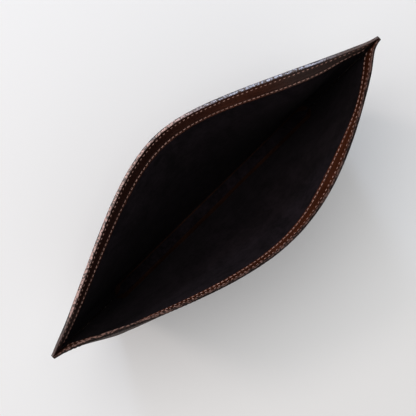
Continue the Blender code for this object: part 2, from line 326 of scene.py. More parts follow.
def shell_relief(q, wall, v):
    """How far the outer leather stands off the CAD's outer face."""
    along, drop, edge = q * MOUTH_SPAN, drop_of(q, v), from_edge(q)
    seed = 0.4 + wall["side"] * 0.3
    inland = smooth((edge - 0.006) / 0.010)
    on_wall = smooth((v - 1.2) / 0.8)
    height = SHELL_PLUMP * inland * on_wall * smooth((drop - 0.004) / 0.012)
    swell = ripple(along, drop, SHELL_SWELL_LENGTH, seed)
    height += SHELL_SWELL * on_wall * inland * swell
    height += SHELL_RIPPLE * on_wall * ripple(along, drop, SHELL_RIPPLE_LENGTH, seed + 1)
    drag = bell(edge - 0.012, 0.009) * smooth((drop - 0.015) / 0.03)
    folds = ripple(along * 0.5, drop, SEAM_DRAG_LENGTH, seed + 2)
    height += SEAM_DRAG * on_wall * drag * folds
    _, phase = ROWS[wall["name"], "outside"]
    height += pucker(drop - RIM_ROW, phase(q), OUTSIDE_GROOVE, OUTSIDE_GROOVE_WIDTH)
    height -= SIDE_GROOVE * bell(edge - SIDE_SEAM, OUTSIDE_GROOVE_WIDTH) * smooth(v - 1)
    height -= RIM_ROUNDING * (1 - smooth(drop / RIM_ROUNDING_DEEP))
    return height - SIDE_ROUNDING * (1 - smooth(edge / SIDE_ROUNDING_DEEP)) * smooth(v - 1)


# The facing's relief: it is full between its two rows, and its hem stands proud below them.
FACING_PLUMP, FACING_SWELL, FACING_RIPPLE = 0.00028, 0.00008, 0.00004
FACING_SWELL_LENGTH, FACING_RIPPLE_LENGTH = 0.014, 0.005
RIM_GROOVE, RIM_GROOVE_WIDTH = 0.00032, 0.0010
FACING_GROOVE, FACING_GROOVE_WIDTH = 0.00034, 0.0011
HEM_PUFF, HEM_PUFF_AT, HEM_PUFF_WIDTH = 0.00065, 0.0172, 0.0011
HEM_ROUNDING, HEM_ROUNDING_DEEP = 0.00024, 0.0008
FACING_RIM_ROUNDING = 0.00022


def facing_relief(q, wall, v):
    """How far the facing's inner face stands into the mouth, beyond the CAD's."""
    along, drop = q * MOUTH_SPAN, drop_of(q, v)
    seed = 1.7 + wall["side"] * 0.4
    between = np.clip((drop - RIM_ROW) / (FACING_ROW - RIM_ROW), 0, 1)
    height = FACING_PLUMP * np.sin(between * math.pi) * smooth((from_edge(q) - 0.004) / 0.01)
    height += FACING_SWELL * ripple(along, drop, FACING_SWELL_LENGTH, seed)
    height += FACING_RIPPLE * ripple(along, drop, FACING_RIPPLE_LENGTH, seed + 1)
    _, rim_phase = ROWS[wall["name"], "rim"]
    _, low_phase = ROWS[wall["name"], "facing"]
    height += pucker(drop - RIM_ROW, rim_phase(q), RIM_GROOVE, RIM_GROOVE_WIDTH)
    height += pucker(drop - FACING_ROW, low_phase(q), FACING_GROOVE, FACING_GROOVE_WIDTH)
    hem = bell(drop - HEM_PUFF_AT, HEM_PUFF_WIDTH)
    height += HEM_PUFF * hem * smooth(from_edge(q) / 0.02)
    height -= HEM_ROUNDING * (1 - smooth((FACING_HEIGHT - drop) / HEM_ROUNDING_DEEP))
    return height - FACING_RIM_ROUNDING * (1 - smooth(drop / RIM_ROUNDING_DEEP))


def outer_face(q, v):
    return 0 * q


ROWS = {}  # each row's stitches, by wall and row
for sewn_wall in WALLS:
    ROWS[sewn_wall["name"], "outside"] = stitch_places(sewn_wall, RIM_ROW, outer_face)
    ROWS[sewn_wall["name"], "rim"] = stitch_places(sewn_wall, RIM_ROW, facing_inner)
    ROWS[sewn_wall["name"], "facing"] = stitch_places(sewn_wall, FACING_ROW, facing_inner)


# ---------------- mesh tools


def make_piece(name, vertices, faces, material, sharp=38.0):
    """A mesh piece with its faces turned outwards, smooth below a sharp angle in degrees."""
    mesh = bpy.data.meshes.new(name)
    mesh.from_pydata(np.asarray(vertices).reshape(-1, 3).tolist(), [], faces)
    bm = bmesh.new()
    bm.from_mesh(mesh)
    bmesh.ops.recalc_face_normals(bm, faces=bm.faces)
    bm.to_mesh(mesh)
    bm.free()
    mesh.materials.append(material)
    mesh.shade_smooth()
    mesh.set_sharp_from_angle(angle=math.radians(sharp))
    piece = bpy.data.objects.new(name, mesh)
    bpy.context.scene.collection.objects.link(piece)
    return piece


def add_wear_and_painted_light(piece, values):
    """A number per point that the materials read as rubbing, as paint, and as painted light and
    shade.
    """
    attribute = piece.data.attributes.new("wear", "FLOAT", "POINT")
    attribute.data.foreach_set("value", np.asarray(values, np.float32).ravel())


def add_flat_map(piece, flat):
    """The place of each point on the sheet as cut, in metres, for weaves and seams."""
    layer = piece.data.uv_layers.new(name="Flat")
    loops = np.zeros(len(piece.data.loops), np.int64)
    piece.data.loops.foreach_get("vertex_index", loops)
    layer.data.foreach_set("uv", np.asarray(flat, np.float32).reshape(-1, 2)[loops].ravel())


def grid_faces(rows, columns, first=0):
    faces = []
    for i in range(rows - 1):
        start = first + i * columns
        for j in range(columns - 1):
            a = start + j
            faces.append((a, a + 1, a + 1 + columns, a + columns))
    return faces


# Borders that get marked: their drop, and how far the mark reaches. By the rim the outer
# leather is rubbed and painted dark, and the dark paint there also stands in as painted shade.
RIM_RUBBED_AND_SHADED = (0.0, 0.004)
# The facing's hem is painted lighter: painted light on a band that faces downwards.
HEM_PAINTED_LIGHT = (FACING_HEIGHT, 0.0017)
SIDE_RUBBED = 0.0035  # how far it reaches from the side edges


def closed_sheet(name, material, lines, columns, shown, hidden, every=6, rubbed_and_lit_border=RIM_RUBBED_AND_SHADED):
    """A closed sheet: a fine shown face, a coarser hidden face and the edges between.

    shown and hidden give the points of a line; the hidden face keeps one line in
    "every" and all the columns. The rubbed and lit border is the drop of the border that
    gets marked and how far the mark reaches: rubbing, and on the facing's hem painted light.
    """
    count = len(columns)
    kept = sorted({*range(0, len(lines), every), len(lines) - 1})
    fine = [shown(columns, *line) for line in lines]
    coarse = [hidden(columns, *lines[i]) for i in kept]
    faces = grid_faces(len(lines), count)
    faces += grid_faces(len(kept), count, len(lines) * count)
    below = [(len(lines) + k) * count for k in range(len(kept))]
    for row, under in ((0, below[0]), (len(lines) - 1, below[-1])):
        for j in range(count - 1):
            a = row * count + j
            faces.append((a, a + 1, under + j + 1, under + j))
    for k in range(len(kept) - 1):
        for j in (0, count - 1):
            side = [i * count + j for i in range(kept[k], kept[k + 1] + 1)]
            faces.append((*side, below[k + 1] + j, below[k] + j))
    piece = make_piece(name, np.array(fine + coarse), faces, material)
    flat, wear = [], []
    for i in [*range(len(lines)), *kept]:
        wall, row = lines[i]
        v = row(columns) + 0 * columns
        drop = drop_of(columns, v)
        up = wall["side"] * (FLAT_DEPTH + BASE_HALF - drop)
        flat.append(np.stack([(columns - 0.5) * FLAT_WIDTH, up], axis=-1))
        border = bell(drop - rubbed_and_lit_border[0], rubbed_and_lit_border[1])
        wear.append(np.maximum(border, bell(from_edge(columns), SIDE_RUBBED)))
    add_flat_map(piece, flat)
    add_wear_and_painted_light(piece, wear)
    return piece


def at_depth(depth, relief=None, sign=1.0):
    """Points of a line at a depth below the outer face, moved outwards by a relief."""

    def points(columns, wall, row):
        v = row(columns) + 0 * columns
        point, normal, _, _ = frame_at(columns, wall, v)
        off = -depth(columns, v)
        if relief is not None:
            off = off + sign * relief(columns, wall, v)
        return point + normal * off[:, None]

    return points


def wall_lines(wall, rows):
    """Rows given upwards, as lines that run from the front rim towards the back rim."""
    lines = [(wall, row) for row in rows]
    return lines if wall is BACK else lines[::-1]


def fixed(v):
    return lambda q: v + 0 * q


def between_rows(low, high, count):
    """Rows evenly spaced from one row function up to another, without the last."""
    return [(lambda q, t=k / count: low(q) + (high(q) - low(q)) * t) for k in range(count)]


def drops(first, last, count):
    return [row_at(d) for d in np.linspace(first, last, count, endpoint=False)]


RIM_FINE = [0.0070, 0.0056, 0.0046, 0.0040, 0.0035, 0.0030, 0.0025, 0.0020]
RIM_FINE += [0.0015, 0.0010, 0.0007, 0.0004, 0.0002, 0.0]
RIM_FINE_FROM = 0.0085  # the drop at which the fine rows by the rim take over
LOW_DROP = 0.200  # where a wall's lowest rows end
ROW_CLEAR = 0.001  # the least distance from a sheet's top to its next row


def shell_rows(wall_count):
    """Rows of a whole wall, from just off the fold's middle to the rim."""
    rows = [fixed(v) for v in (0.35, 0.7)] + [fixed(1 + k / 5) for k in range(5)]
    rows += between_rows(fixed(2), row_at(LOW_DROP), wall_count // 6)
    rows += drops(LOW_DROP, RIM_FINE_FROM, wall_count)
    return rows + [row_at(d) for d in RIM_FINE]


def cut_at(rows, top):
    """The rows of a sheet that ends at a drop."""
    return [row for row in rows if drop_of(0.5, row(0.5)) > top + ROW_CLEAR] + [row_at(top)]


def wrap_lines(wall_count, top=0.0):
    """Lines from the front wall, under the fold, to the back wall, up to a drop."""
    rows = shell_rows(wall_count)
    if top > 0:
        rows = cut_at(rows, top)
    return wall_lines(FRONT, rows) + [(BACK, fixed(0))] + wall_lines(BACK, rows)


FINE_TO = 0.0068  # the columns are close together this far in from the side edges


def columns_every(step, fine_step=0.0004):
    """Column positions, finer next to the side edges."""
    ends = np.arange(0, FINE_TO, fine_step)
    middle_count = round((MOUTH_SPAN - 2 * FINE_TO) / step)
    middle = np.linspace(FINE_TO, MOUTH_SPAN - FINE_TO, middle_count + 1)
    return np.concatenate([ends, middle, MOUTH_SPAN - ends[::-1]]) / MOUTH_SPAN


# ---------------- materials


class Nodes:
    """A few short words for building a node tree."""

    def __init__(self, name, roughness=0.5, **constants):
        self.material = bpy.data.materials.new(name)
        self.material.use_nodes = True
        self.tree = self.material.node_tree
        self.shader = self.tree.nodes["Principled BSDF"]
        self.shader.inputs["Roughness"].default_value = roughness
        for socket, value in constants.items():
            self.shader.inputs[socket.replace("_", " ")].default_value = value

    def add(self, kind, inputs=None, **settings):
        node = self.tree.nodes.new(kind)
        for key, value in settings.items():
            setattr(node, key, value)
        for key, value in (inputs or {}).items():
            self.put(node.inputs[key], value)
        return node

    def put(self, socket, value):
        if isinstance(value, bpy.types.NodeSocket):
            self.tree.links.new(value, socket)
        else:
            socket.default_value = value

    def math(self, operation, a, b):
        node = self.add("ShaderNodeMath", {0: a, 1: b}, operation=operation)
        return node.outputs[0]

    def ramp(self, value, low, high, out_low=0.0, out_high=1.0):
        node = self.add(
            "ShaderNodeMapRange",
            {"Value": value, 1: low, 2: high, 3: out_low, 4: out_high},
            interpolation_type="SMOOTHSTEP",
        )
        return node.outputs["Result"]

    def mix(self, factor, a, b):
        node = self.add("ShaderNodeMix", {"Factor": factor}, data_type="RGBA")
        for index, value in ((6, a), (7, b)):
            if not isinstance(value, bpy.types.NodeSocket):
                value = (*value, 1.0)
            self.put(node.inputs[index], value)
        return node.outputs[2]

    def place(self):
        return self.add("ShaderNodeTexCoord").outputs["Object"]

    def along_mouth(self, low, high):
        """0 to the left of one place along the mouth, 1 to the right of another."""
        parts = self.add("ShaderNodeSeparateXYZ", {"Vector": self.place()})
        return self.ramp(parts.outputs["X"], low, high)

    def flat(self):
        return self.add("ShaderNodeUVMap", uv_map="Flat").outputs["UV"]

    def wear(self):
        return self.add("ShaderNodeAttribute", attribute_name="wear").outputs["Fac"]

    def scaled(self, vector, scale):
        node = self.add("ShaderNodeVectorMath", {0: vector, 1: scale}, operation="MULTIPLY")
        return node.outputs[0]

    def noise(self, vector, scale, detail=3.0, rough=0.55, distortion=0.0):
        inputs = {"Vector": vector, "Scale": scale, "Detail": detail, "Roughness": rough}
        inputs["Distortion"] = distortion
        return self.add("ShaderNodeTexNoise", inputs).outputs["Fac"]

    def cells(self, vector, scale, feature="DISTANCE_TO_EDGE"):
        inputs = {"Vector": vector, "Scale": scale}
        node = self.add("ShaderNodeTexVoronoi", inputs, feature=feature)
        return node.outputs["Distance"]

    def bent(self, vector, scale, amount):
        """The vector, pushed about by noise, so that cells lose their straight sides."""
        node = self.add("ShaderNodeTexNoise", {"Vector": vector, "Scale": scale, "Detail": 2.0})
        centred = self.add(
            "ShaderNodeVectorMath",
            {0: node.outputs["Color"], 1: (0.5, 0.5, 0.5)},
            operation="SUBTRACT",
        )
        push = self.scaled(centred.outputs[0], (amount,) * 3)
        node = self.add("ShaderNodeVectorMath", {0: vector, 1: push}, operation="ADD")
        return node.outputs[0]

    def bump(self, height, distance, strength):
        inputs = {"Height": height, "Distance": distance, "Strength": strength}
        return self.add("ShaderNodeBump", inputs).outputs["Normal"]

    def finish(self, colour, roughness=None, normal=None):
        for socket, value in (("Base Color", colour), ("Roughness", roughness), ("Normal", normal)):
            if value is not None:
                self.put(self.shader.inputs[socket], value)
        self.material.diffuse_color = tuple(self.shader.inputs["Base Color"].default_value)
        return self.material


def leather_material(
    name,
    deep,
    body,
    rubbed_and_lit,
    gloss,
    shine,
    grain=0.00095,
    relief=0.00016,
    painted_shade=None,
    painted_sheen=None,
    paint_and_shade=None,
):
    """Full-grain leather: soft pebbled cells, pores, tone drift, rubbed edges, and a lighter tone
    on borders that are painted light.

    The painted shade argument gives a stretch along the mouth over which the leather
    clears from a darker tone, and that tone: painted shade. The painted sheen argument
    gives the stretches at the two ends of the mouth over which the leather is painted
    greyer, as a painted sheen reflection, and its tone. The paint and shade argument is the
    colour of edge paint that laps over the leather's borders; by the rim it also stands in
    as painted shade.
    """
    n = Nodes(name, roughness=gloss, Specular_IOR_Level=shine)
    n.shader.inputs["Specular Tint"].default_value = (0.40, 0.34, 0.32, 1)
    place = n.place()
    bent = n.bent(place, 420.0, 0.0011)
    edge = n.cells(bent, 1 / grain)
    cell = n.ramp(edge, 0.0, 0.26)
    small = n.ramp(n.cells(n.bent(place, 900.0, 0.0005), 2.3 / grain), 0.0, 0.3)
    pore = n.ramp(n.noise(place, 2600.0, 2.0), 0.30, 0.46)
    drift = n.noise(place, 21.0, 4.0, 0.6, 0.4)
    cloud = n.noise(place, 95.0, 3.0, 0.6)
    tone = n.math("ADD", n.math("MULTIPLY", drift, 0.7), n.math("MULTIPLY", cloud, 0.3))
    colour = n.mix(n.ramp(tone, 0.34, 0.66), deep, body)
    # Painted shade: the leather is painted darker to the left of a place along the mouth.
    if painted_shade:
        low, high, dark = painted_shade
        colour = n.mix(n.along_mouth(low, high), dark, colour)
    # Painted sheen: the leather at the mouth's two ends is painted greyer, as a reflection.
    if painted_sheen:
        left, right, grey = painted_sheen
        left_sheen = n.math("SUBTRACT", 1.0, n.along_mouth(*left))
        colour = n.mix(n.math("MAXIMUM", left_sheen, n.along_mouth(*right)), colour, grey)
    colour = n.mix(n.math("MULTIPLY", n.math("SUBTRACT", 1.0, cell), 0.55), colour, deep)
    # Lighter tone on marked borders: rubbing, and on the facing's hem painted light.
    rub_and_light = n.math("MULTIPLY", n.wear(), n.ramp(n.noise(place, 330.0, 3.0), 0.36, 0.66))
    rub_and_light = n.math("MULTIPLY", rub_and_light, n.ramp(cell, 0.2, 1.0, 0.25, 1.0))
    colour = n.mix(n.math("MULTIPLY", rub_and_light, 0.75), colour, rubbed_and_lit)
    height = n.math("MULTIPLY", cell, 0.62)
    height = n.math("ADD", height, n.math("MULTIPLY", small, 0.26))
    height = n.math("ADD", height, n.math("MULTIPLY", pore, 0.12))
    rough = n.ramp(n.noise(place, 60.0, 3.0), 0.3, 0.7, gloss - 0.07, gloss + 0.08)
    rough = n.math("SUBTRACT", rough, n.math("MULTIPLY", rub_and_light, 0.08))
    # Dark edge paint over the borders; by the rim it also stands in as painted shade.
    if paint_and_shade:
        cover = n.ramp(n.wear(), 0.06, 0.45)
        colour = n.mix(cover, colour, paint_and_shade)
        rough = n.math("MAXIMUM", rough, n.math("MULTIPLY", cover, 0.85))
    return n.finish(colour, rough, n.bump(height, relief, 0.85))


def suede_material():
    """Dark napped microsuede: stroked patches, fine fibre speckle and a soft sheen."""
    n = Nodes("dark_suede", roughness=0.95, Specular_IOR_Level=0.08)
    n.shader.inputs["Sheen Weight"].default_value = 0.016
    n.shader.inputs["Sheen Roughness"].default_value = 0.5
    n.shader.inputs["Sheen Tint"].default_value = (0.52, 0.42, 0.47, 1)
    place = n.place()
    stroked = n.scaled(n.bent(place, 30.0, 0.02), (1.0, 1.0, 0.45))
    patch = n.noise(stroked, 55.0, 5.0, 0.62, 0.8)
    mottle = n.noise(place, 240.0, 4.0, 0.65)
    fibre = n.noise(n.scaled(place, (1.0, 1.0, 0.4)), 3200.0, 2.0, 0.7)
    tone = n.math("ADD", n.math("MULTIPLY", patch, 0.42), n.math("MULTIPLY", mottle, 0.33))
    tone = n.math("ADD", tone, n.math("MULTIPLY", fibre, 0.25))
    colour = n.mix(n.ramp(tone, 0.36, 0.64), (0.0020, 0.0013, 0.0018), (0.0135, 0.0090, 0.0118))
    height = n.math("ADD", n.math("MULTIPLY", fibre, 0.6), n.math("MULTIPLY", mottle, 0.4))
    return n.finish(colour, None, n.bump(height, 0.00028, 0.8))


EDGE_PAINT_AND_SHADE = (0.0060, 0.0034, 0.0028)  # the dark paint left on the rims and over the outer leather's borders; by the rim it also stands in as painted shade


def edge_material(name, deep, body, gloss, coat=0.0, shine=0.75, right=None, ends=None):
    """Burnished leather edge under dark paint: wrinkled, speckled and a little glossy.

    A light body tone, as the rims are given, is a painted highlight that shows in the
    speckles and streaks. Where the paint mask is high the paint is whole, dark and dull.
    right gives a stretch along the mouth and the tone the body takes beyond it; ends gives
    a stretch at each end of the mouth and the tone the body takes there. On the rims these
    place the painted highlight and the painted reflection along the mouth.
    """
    n = Nodes(name, roughness=gloss, Specular_IOR_Level=shine)
    n.shader.inputs["Coat Weight"].default_value = coat
    n.shader.inputs["Coat Roughness"].default_value = 0.22
    n.shader.inputs["Coat IOR"].default_value = 1.7
    place = n.place()
    bent = n.bent(place, 700.0, 0.0009)
    cell = n.ramp(n.cells(bent, 1250.0), 0.0, 0.35)
    streak = n.noise(n.scaled(place, (1.0, 1.6, 1.6)), 520.0, 4.0, 0.6)
    speck = n.ramp(n.noise(place, 620.0, 2.0), 0.40, 0.60)
    drift = n.noise(place, 46.0, 2.0)
    tone = n.math("ADD", n.math("MULTIPLY", streak, 0.35), n.math("MULTIPLY", speck, 0.42))
    tone = n.math("ADD", tone, n.math("MULTIPLY", drift, 0.23))
    # On the rims the body tone is painted highlight, placed along the mouth here.
    if right:
        low, high, beyond = right
        body = n.mix(n.along_mouth(low, high), body, beyond)
    if ends:
        left_end, right_end, dull = ends
        clear = n.math("SUBTRACT", 1.0, n.along_mouth(*right_end))
        clear = n.math("MULTIPLY", clear, n.along_mouth(*left_end))
        body = n.mix(clear, dull, body)
    colour = n.mix(n.ramp(tone, 0.28, 0.70), deep, body)
    # The dark paint band on the rim's outer side; on the front rim its extra width is painted
    # shade.
    painted = n.math("MULTIPLY", n.wear(), n.ramp(streak, 0.30, 0.62, 1.0, 0.85))
    colour = n.mix(painted, colour, EDGE_PAINT_AND_SHADE)
    height = n.math("ADD", n.math("MULTIPLY", cell, 0.5), n.math("MULTIPLY", streak, 0.8))
    rough = n.ramp(n.noise(place, 480.0, 3.0), 0.3, 0.7, gloss - 0.12, gloss + 0.12)
    rough = n.math("MAXIMUM", rough, n.math("MULTIPLY", painted, 0.80))
    return n.finish(colour, rough, n.bump(height, 0.00034, 0.9))


def thread_material(name, deep, body, soiled):
    """Waxed polyester thread, soiled in places; its two plies are in the mesh."""
    n = Nodes(name, roughness=0.48, Specular_IOR_Level=0.45)
    n.shader.inputs["Sheen Weight"].default_value = 0.15
    place = n.place()
    fibre = n.noise(place, 5200.0, 2.0)
    drift = n.noise(place, 160.0, 3.0)
    colour = n.mix(n.ramp(drift, 0.3, 0.7), deep, body)
    colour = n.mix(n.math("MULTIPLY", n.ramp(fibre, 0.35, 0.65), 0.30), colour, soiled)
    return n.finish(colour, None, n.bump(fibre, 0.00006, 0.7))


def foam_material():
    """Dense grey padding foam with open cells on its skin."""
    n = Nodes("padding_foam", roughness=0.92, Specular_IOR_Level=0.2)
    place = n.place()
    cell = n.ramp(n.cells(place, 1500.0, "F1"), 0.05, 0.6)
    drift = n.noise(place, 40.0, 3.0)
    colour = n.mix(cell, (0.045, 0.045, 0.047), (0.120, 0.120, 0.124))
    colour = n.mix(n.math("MULTIPLY", drift, 0.3), colour, (0.09, 0.085, 0.078))
    return n.finish(colour, None, n.bump(cell, 0.0003, 0.8))


def tape_material():
    """Woven stiffening tape, plain weave, 0.6 mm yarns."""
    n = Nodes("stiffening_tape", roughness=0.85, Specular_IOR_Level=0.25)
    flat = n.flat()
    waves = []
    for direction in ("X", "Y"):
        node = n.add(
            "ShaderNodeTexWave",
            {"Vector": flat, "Scale": 260.0, "Distortion": 0.4, "Detail": 1.0},
            bands_direction=direction,
        )
        waves.append(node.outputs["Fac"])
    weave = n.math("MAXIMUM", waves[0], waves[1])
    colour = n.mix(weave, (0.16, 0.14, 0.11), (0.36, 0.33, 0.28))
    return n.finish(colour, None, n.bump(weave, 0.00015, 0.7))


def floor_material():
    """A pale matt floor, a little lighter away from the sleeve: painted light that evens out the
    lamps' light there.
    """
    n = Nodes("pale_floor", roughness=0.85, Specular_IOR_Level=0.1)
    away = n.add("ShaderNodeVectorMath", {0: n.place()}, operation="LENGTH").outputs["Value"]
    near, far = (0.795, 0.792, 0.790), (0.820, 0.818, 0.816)
    return n.finish(n.mix(n.ramp(away, 0.12, 0.55), near, far))


# The dark border of the outer leather by the rim is edge paint and also painted shade.
OUTER_LEATHER = leather_material(
    "outer_leather",
    (0.014, 0.0058, 0.0036),
    (0.042, 0.0170, 0.0102),
    (0.100, 0.050, 0.034),
    gloss=0.58,
    shine=0.10,
    paint_and_shade=EDGE_PAINT_AND_SHADE,
)
FACING_LEATHERS = {
    # The back facing is a copy of the leather painted for its light: its darker left half is
    # painted shade, its greyer ends are painted sheen, and its body tone, greyer than the front
    # facing's, is partly painted sheen.
    "back": leather_material(
        "facing_leather_back",
        (0.034, 0.0105, 0.0062),
        (0.088, 0.0285, 0.0170),
        (0.190, 0.0620, 0.0340),
        grain=0.0007,
        relief=0.00009,
        gloss=0.46,
        shine=0.36,
        painted_shade=(-0.010, 0.070, (0.0115, 0.0046, 0.0034)),
        painted_sheen=((-0.147, -0.110), (0.070, 0.105), (0.058, 0.0420, 0.0380)),
    ),
    "front": leather_material(
        "facing_leather_front",
        (0.034, 0.0085, 0.0034),
        (0.082, 0.0200, 0.0078),
        (0.230, 0.0680, 0.0330),
        grain=0.0007,
        relief=0.00009,
        gloss=0.50,
        shine=0.26,
    ),
}
SUEDE = suede_material()
# The rims' light body tones are painted highlight. The back rim's is pinkish and turns bluish grey
# to the right, a painted reflection of the cool side, and its ends keep a duller tone. The front
# rim's painted highlight is lighter at the left.
RIM_EDGES = {
    "back": edge_material(
        "back_rim_painted_highlight",
        (0.055, 0.0260, 0.0195),
        (0.530, 0.3250, 0.2850),
        gloss=0.36,
        coat=0.50,
        right=(0.005, 0.060, (0.400, 0.4200, 0.5400)),
        ends=((-0.144, -0.118), (0.106, 0.132), (0.075, 0.0330, 0.0260)),
    ),
    "front": edge_material(
        "front_rim_painted_highlight",
        (0.014, 0.0064, 0.0050),
        (0.200, 0.1120, 0.0900),
        gloss=0.52,
        shine=0.10,
        right=(-0.110, -0.060, (0.105, 0.0560, 0.0450)),
    ),
}
SIDE_EDGE = edge_material(
    "painted_side_edge", (0.008, 0.0045, 0.0036), (0.032, 0.017, 0.013), gloss=0.48, shine=0.30
)
FACING_THREAD = thread_material(
    "waxed_thread", (0.310, 0.155, 0.120), (0.520, 0.295, 0.240), (0.120, 0.062, 0.046)
)
OUTSIDE_THREAD = thread_material(
    "dark_waxed_thread", (0.030, 0.0145, 0.0105), (0.062, 0.031, 0.023), (0.012, 0.006, 0.0045)
)
FOAM = foam_material()
TAPE_WEAVE = tape_material()


# ---------------- pieces


def settle(piece, slot, *nodes):
    """Ride on the sleeve's one body and stand for CAD nodes. slot is not used."""
    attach(piece, "root")
    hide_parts(*nodes)


def make_shell():
    columns = columns_every(0.00086)
    shown = at_depth(outer_face, shell_relief)
    hidden = at_depth(leather_inner)
    lines = wrap_lines(60)
    piece = closed_sheet("leather_shell", OUTER_LEATHER, lines, columns, shown, hidden, 9)
    settle(piece, "outer_leather", "outer_leather")


LINING_SWELL, LINING_SWELL_LENGTH = 0.00055, 0.11
LINING_RIPPLE, LINING_RIPPLE_LENGTH = 0.00016, 0.030


def lining_relief(q, wall, v):
    """The lining's soft unevenness: it is only caught at the seams and the facing."""
    along, drop = q * MOUTH_SPAN, drop_of(q, v)
    free = smooth((from_edge(q) - 0.012) / 0.02) * smooth((drop - FACING_HEIGHT) / 0.02)
    free = free * smooth((v - 1.5) / 0.8)
    swell = ripple(along, drop, LINING_SWELL_LENGTH, 3.1 + wall["side"])
    waves = ripple(along, drop, LINING_RIPPLE_LENGTH, 4.2 + wall["side"])
    return LINING_SWELL * free * swell + LINING_RIPPLE * free * waves


def make_lining():
    columns = columns_every(0.0017)
    shown = at_depth(lining_inner, lining_relief, -1.0)
    hidden = at_depth(lining_outer)
    lines = wrap_lines(66, LINING_TOP)
    piece = closed_sheet("suede_lining", SUEDE, lines, columns, shown, hidden)
    settle(piece, "suede_lining", "lining")


def core_columns(step):
    start = CORE_INSET / MOUTH_SPAN
    return np.linspace(start, 1 - start, round((1 - 2 * start) * MOUTH_SPAN / step))


def make_core(wall):
    """A wall's padding and the tape above it, between leather and lining."""
    name = wall["name"]
    columns = core_columns(0.0024)
    rows = [lambda q: PAD_PARTING / (base_half(q) - base_radius(q))] + shell_rows(50)
    lines = wall_lines(wall, cut_at(rows, FACING_HEIGHT + 2 * GAP))
    both_faces = at_depth(core_inner), at_depth(core_outer)
    padding = closed_sheet(f"{name}_foam_padding", FOAM, lines, columns, *both_faces)
    settle(padding, "padding_foam", f"{name}_padding")
    rows = [row_at(d) for d in np.linspace(FACING_HEIGHT, 0, 14)]
    lines = wall_lines(wall, rows)
    tape = closed_sheet(f"{name}_woven_tape", TAPE_WEAVE, lines, columns, *both_faces)
    settle(tape, "stiffening_tape", f"{name}_mouth_tape")


# The drops of the facing's rows, closest at the rim, at the stitches and at the hem.
FACING_DROPS = [0.0, 0.0003, 0.0006, 0.0010, 0.0015, 0.0020, 0.0024, 0.0028, 0.0032, 0.0036]
FACING_DROPS += [0.0042, *np.linspace(0.0050, 0.0135, 10), 0.0141, 0.0146, 0.0150, 0.0154]
FACING_DROPS += [0.0158, 0.0163, 0.0169, 0.0173, 0.0176, 0.0178, 0.0180]


def make_facing(wall):
    """The leather band sewn round the inside of the mouth."""
    lines = wall_lines(wall, [row_at(d) for d in reversed(FACING_DROPS)])
    columns = columns_every(0.00072)
    shown = at_depth(facing_inner, facing_relief, -1.0)
    hidden = at_depth(facing_outer)
    name = wall["name"]
    leather = FACING_LEATHERS[name]
    piece = closed_sheet(
        f"{name}_facing_band", leather, lines, columns, shown, hidden, 8, HEM_PAINTED_LIGHT
    )
    settle(piece, "facing_leather", f"{name}_facing")


def bar_faces(lengths, around, first=0):
    """The faces of a closed bar: rings of points joined up, and the two ends filled."""
    faces = []
    for i in range(lengths - 1):
        for k in range(around):
            a, b = first + i * around + k, first + i * around + (k + 1) % around
            faces.append((a, b, b + around, a + around))
    faces.append(tuple(first + k for k in range(around)))
    faces.append(tuple(first + (lengths - 1) * around + k for k in range(around)))
    return faces


def make_edge(name, material, lines):
    """A crowned edge: a closed bar through the lines of points that run along it."""
    points = np.stack(lines, axis=1)
    return make_piece(name, points, bar_faces(*points.shape[:2]), material, 60.0)


RIM_HEIGHT = 0.00080
RIM_TURN = 24  # steps over the crown
RIM_MARGIN = 0.03  # of the rim's width that is left bare on either side
RIM_CREASE = 0.26  # where the outer leather's painted edge meets the rest, from outside
PAINT_AND_SHADE_SHARE = {"back": 0.10, "front": 0.38}  # of the rim's width that keeps its paint, from outside; the front rim's wider band is partly painted shade
PAINT_FADE = 0.16  # of the rim's width over which the paint ends


def rim_profile(across, along, seed):
    """The height of the rim's crown: flat-topped, creased, and pressed into lumps."""
    crown = max(4 * across * (1 - across), 0) ** 0.36
    wander = RIM_CREASE + 0.05 * ripple(along, 0 * along, 0.012, seed + 3)
    crease = 0.34 * bell(across - wander, 0.055)
    lumps = 0.20 * ripple(along, 0.004 * across + 0 * along, 0.0031, seed + 1)
    lumps = lumps + 0.12 * ripple(along, 0.003 * across + 0 * along, 0.0014, seed + 5)
    swell = 0.14 * ripple(along, 0 * along, 0.0095, seed)
    return np.maximum(crown * (1 + swell + lumps) - crease, 0)


def make_rim(wall):
    """The burnished edge on top of a wall: a crowned, lumpy bead over the leathers' ends."""
    name = wall["name"]
    columns = columns_every(0.00042, 0.0003)
    point, normal, up, _ = frame_at(columns, wall, 3.0)
    thick = facing_inner(columns, 3.0 + 0 * columns)
    along = columns * MOUTH_SPAN
    seed = 5.0 + wall["side"]
    drift = 0.00010 * ripple(along, 0 * along, 0.024, seed + 2)
    drift = drift + 0.00005 * ripple(along, 0 * along, 0.0043, seed + 6)
    thin_end = 0.6 + 0.4 * smooth(from_edge(columns) / 0.012)
    lines, painted = [], []
    for k in range(RIM_TURN + 1):
        across = 0.5 - 0.5 * math.cos(math.pi * k / RIM_TURN)
        height = RIM_HEIGHT * thin_end * rim_profile(across, along, seed)
        inwards = thick * (RIM_MARGIN + (1 - 2 * RIM_MARGIN) * across)
        inwards = inwards + drift * math.sin(math.pi * across)
        lines.append(point - normal * inwards[:, None] + up * (GAP / 2 + height)[:, None])
        # The dark paint band from the outer side; on the front rim its width also stands in as
        # painted shade.
        past_paint = across - PAINT_AND_SHADE_SHARE[name] - 0.5 * drift / GAP
        painted.append(1 - smooth(past_paint / PAINT_FADE))
    piece = make_edge(f"{name}_rim_edge", RIM_EDGES[name], lines)
    add_wear_and_painted_light(piece, np.stack(painted, axis=1))
    settle(piece, "edge_paint", f"{name}_rim_paint")


